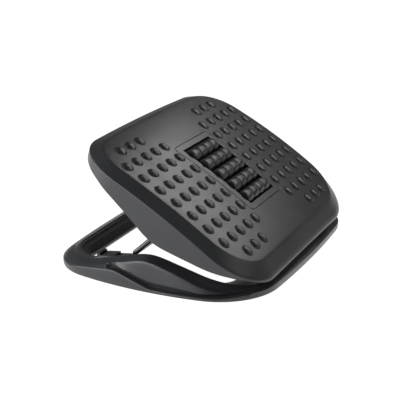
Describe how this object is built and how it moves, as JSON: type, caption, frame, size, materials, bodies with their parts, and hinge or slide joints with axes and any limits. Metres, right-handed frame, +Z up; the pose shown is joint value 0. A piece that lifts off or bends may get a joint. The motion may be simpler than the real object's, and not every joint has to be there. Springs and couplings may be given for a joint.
{
  "type": "footrest",
  "caption": "Tilting under-desk footrest: arched plate with rubber nubs and ribbed massage rollers, hinged on an open ring base and propped by a wire bail.",
  "frame": {"origin": "centre of the base's footprint, on the floor", "axes": "+X to the right of a person whose feet come from -Y, +Y away from them towards the plate's high edge, +Z up"},
  "size_m": [0.4492, 0.3519, 0.1963],
  "materials": {
    "charcoal_plastic": "moulded with a fine matte texture",
    "roller_plastic": "smooth moulding, satin gloss",
    "black_rubber": "moulded rubber, satin",
    "plated_steel": "bright zinc plate",
    "black_wire": "steel wire, gloss black coat"
  },
  "bodies": {
    "base": {"base_frame": "charcoal_plastic", "rubber_feet": "black_rubber", "hinge_pin_left": "plated_steel", "hinge_pin_right": "plated_steel"},
    "plate": {"foot_plate": "charcoal_plastic", "nub_mat_left": "black_rubber", "nub_mat_right": "black_rubber", "roller_tray": "charcoal_plastic", "roller_axle_1": "plated_steel", "roller_axle_2": "plated_steel", "roller_axle_3": "plated_steel", "roller_axle_4": "plated_steel", "roller_axle_5": "plated_steel", "bail_clip_left": "charcoal_plastic", "bail_clip_right": "charcoal_plastic", "mat_screws": "plated_steel", "clip_screws": "plated_steel", "tray_screws": "plated_steel"},
    "prop": {"bail": "black_wire"},
    "roller_1": {"roller_1": "roller_plastic"},
    "roller_2": {"roller_2": "roller_plastic"},
    "roller_3": {"roller_3": "roller_plastic"},
    "roller_4": {"roller_4": "roller_plastic"},
    "roller_5": {"roller_5": "roller_plastic"}
  },
  "joints": [
    {"name": "plate_tilt", "type": "hinge", "parent": "base", "child": "plate", "pos_m": [0, -0.146, 0.021], "axis": [1, 0, 0], "range_deg": [-24, 0]},
    {"name": "bail_swing", "type": "hinge", "parent": "plate", "child": "prop", "pos_m": [0, -0.04411, 0.10912], "axis": [1, 0, 0], "range_deg": [0, 58]},
    {"name": "roller_1_spin", "type": "hinge", "parent": "plate", "child": "roller_1", "pos_m": [0, -0.07794, 0.09449], "axis": [1, 0, 0], "continuous": true},
    {"name": "roller_2_spin", "type": "hinge", "parent": "plate", "child": "roller_2", "pos_m": [0, -0.05663, 0.10852], "axis": [1, 0, 0], "continuous": true},
    {"name": "roller_3_spin", "type": "hinge", "parent": "plate", "child": "roller_3", "pos_m": [0, -0.03501, 0.12205], "axis": [1, 0, 0], "continuous": true},
    {"name": "roller_4_spin", "type": "hinge", "parent": "plate", "child": "roller_4", "pos_m": [0, -0.0131, 0.13509], "axis": [1, 0, 0], "continuous": true},
    {"name": "roller_5_spin", "type": "hinge", "parent": "plate", "child": "roller_5", "pos_m": [0, 0.00912, 0.14763], "axis": [1, 0, 0], "continuous": true}
  ],
  "couplings": [
    {"joint": "bail_swing", "follows": "plate_tilt", "ratio": -2.4}
  ]
}
